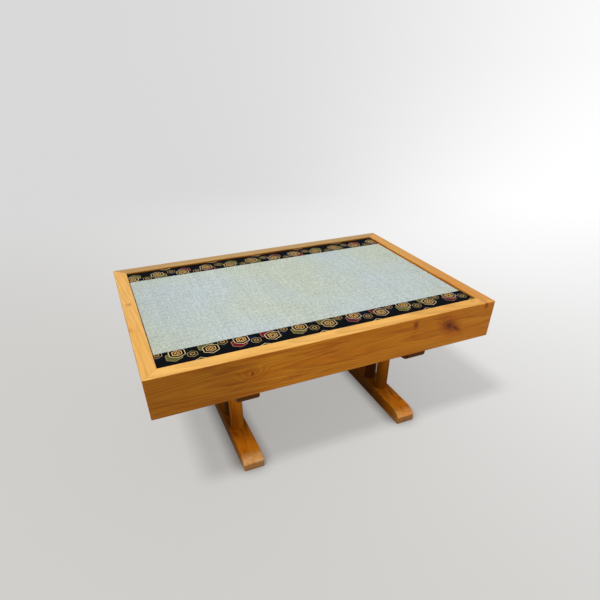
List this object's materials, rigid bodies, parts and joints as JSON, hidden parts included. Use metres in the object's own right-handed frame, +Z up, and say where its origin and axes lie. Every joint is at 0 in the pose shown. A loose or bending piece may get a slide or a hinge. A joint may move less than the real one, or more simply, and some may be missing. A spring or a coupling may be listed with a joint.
{
  "type": "low tatami-topped table",
  "caption": "Low floor table: a mitred solid-wood tray with a lift-out woven rush mat edged in brocade, on two trestles with paired round posts and rounded feet.",
  "frame": {"origin": "middle of the footprint, on the floor under the two feet", "axes": "+X along the table's length to the right, +Y to the back, +Z up"},
  "size_m": [0.7, 0.48, 0.272],
  "materials": {
    "rail_wood": "honey-coloured softwood with knots, satin varnish",
    "trestle_wood": "honey-coloured softwood, satin varnish",
    "post_wood": "round softwood dowel, satin varnish",
    "inner_wood": "planed softwood, unvarnished",
    "plywood": "sanded plywood, unvarnished",
    "fibre_core": "pressed wood fibre",
    "mat_lining": "non-woven lining",
    "woven_rush": "woven rush, pale blue-green, slight sheen",
    "brocade": "dark brocade with gold, red and green tortoiseshell hexagons",
    "screw_steel": "zinc-plated steel"
  },
  "bodies": {
    "table": {"front_rail": "rail_wood", "back_rail": "rail_wood", "left_rail": "rail_wood", "right_rail": "rail_wood", "front_ledger": "inner_wood", "back_ledger": "inner_wood", "left_ledger": "inner_wood", "right_ledger": "inner_wood", "left_bearer": "inner_wood", "right_bearer": "inner_wood", "front_left_spline": "inner_wood", "front_right_spline": "inner_wood", "back_left_spline": "inner_wood", "back_right_spline": "inner_wood", "left_foot": "trestle_wood", "right_foot": "trestle_wood", "left_head_bar": "trestle_wood", "right_head_bar": "trestle_wood", "front_left_post": "post_wood", "front_left_inner_post": "post_wood", "front_right_post": "post_wood", "front_right_inner_post": "post_wood", "back_left_post": "post_wood", "back_left_inner_post": "post_wood", "back_right_post": "post_wood", "back_right_inner_post": "post_wood", "mat_board": "plywood", "left_bar_screws": "screw_steel", "right_bar_screws": "screw_steel", "left_post_screws": "screw_steel", "right_post_screws": "screw_steel", "ledger_screws": "screw_steel", "board_screws": "screw_steel"},
    "mat": {"mat_core": "fibre_core", "mat_backing": "mat_lining", "rush_facing": "woven_rush", "front_border": "brocade", "back_border": "brocade"}
  },
  "joints": [
    {"name": "mat_lift", "type": "slide", "parent": "table", "child": "mat", "axis": [0, 0, 1], "range_m": [0, 0.021]}
  ]
}
